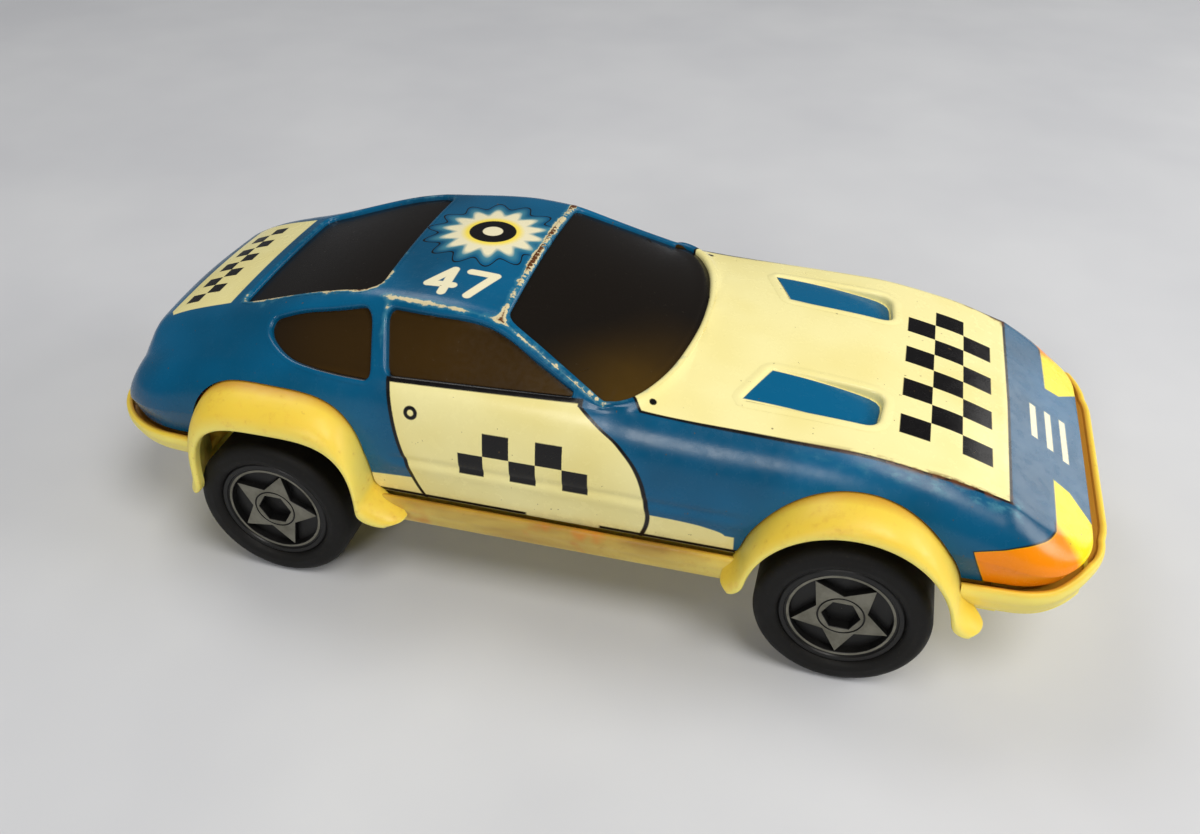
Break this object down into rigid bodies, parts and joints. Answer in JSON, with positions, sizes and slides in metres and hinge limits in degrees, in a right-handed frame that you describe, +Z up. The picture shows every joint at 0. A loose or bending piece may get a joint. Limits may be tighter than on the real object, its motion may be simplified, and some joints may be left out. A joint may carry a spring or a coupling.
{
  "type": "toy police car",
  "caption": "Friction-drive tinplate toy police car: pressed coupe shell and tinted glazing on a moulded base with flared arches and free-rolling wheels.",
  "frame": {"origin": "on the floor under the middle of the car", "axes": "+X to the front of the car, +Y to its left side, +Z up"},
  "size_m": [0.2318, 0.102, 0.0725],
  "materials": {
    "tin_paint": "gloss lithographed tinplate, blue with cream panels and worn edges",
    "glazing": "dark brown tinted clear plastic",
    "base_plastic": "aged pale yellow moulded plastic, semi-gloss",
    "steel": "plain drawn steel wire and screws",
    "dark_plastic": "black moulded plastic",
    "hub": "black moulded plastic with silver foil on the star",
    "tyre": "soft black rubber",
    "plate_steel": "zinc-plated steel sheet",
    "gear_plastic": "natural nylon",
    "flywheel_iron": "plain cast iron"
  },
  "bodies": {
    "car": {"body_shell": "tin_paint", "window_insert": "glazing", "chassis_base": "base_plastic", "body_screws": "steel", "front_axle_carrier": "dark_plastic", "carrier_screws": "steel", "motor_plate_left": "plate_steel", "motor_plate_right": "plate_steel", "motor_spacers": "steel", "motor_screws": "steel"},
    "front_wheels": {"front_axle": "steel", "hub_front_left": "hub", "hub_front_right": "hub", "tyre_front_left": "tyre", "tyre_front_right": "tyre"},
    "rear_wheels": {"rear_axle": "steel", "drive_gear": "gear_plastic", "hub_rear_left": "hub", "hub_rear_right": "hub", "tyre_rear_left": "tyre", "tyre_rear_right": "tyre"},
    "idler": {"idler_shaft": "steel", "idler_gear": "gear_plastic"},
    "flywheel_unit": {"flywheel_shaft": "steel", "flywheel_pinion": "gear_plastic", "flywheel": "flywheel_iron"}
  },
  "joints": [
    {"name": "front_axle_spin", "type": "hinge", "parent": "car", "child": "front_wheels", "pos_m": [0.06465, 0, 0.019], "axis": [0, 1, 0], "continuous": true},
    {"name": "rear_axle_spin", "type": "hinge", "parent": "car", "child": "rear_wheels", "pos_m": [-0.06835, 0, 0.019], "axis": [0, 1, 0], "continuous": true},
    {"name": "idler_spin", "type": "hinge", "parent": "car", "child": "idler", "pos_m": [-0.05908, 0, 0.03005], "axis": [0, 1, 0], "continuous": true},
    {"name": "flywheel_spin", "type": "hinge", "parent": "car", "child": "flywheel_unit", "pos_m": [-0.04553, 0, 0.03498], "axis": [0, 1, 0], "continuous": true}
  ],
  "couplings": [
    {"joint": "idler_spin", "follows": "rear_axle_spin", "ratio": -3},
    {"joint": "flywheel_spin", "follows": "rear_axle_spin", "ratio": 9}
  ]
}
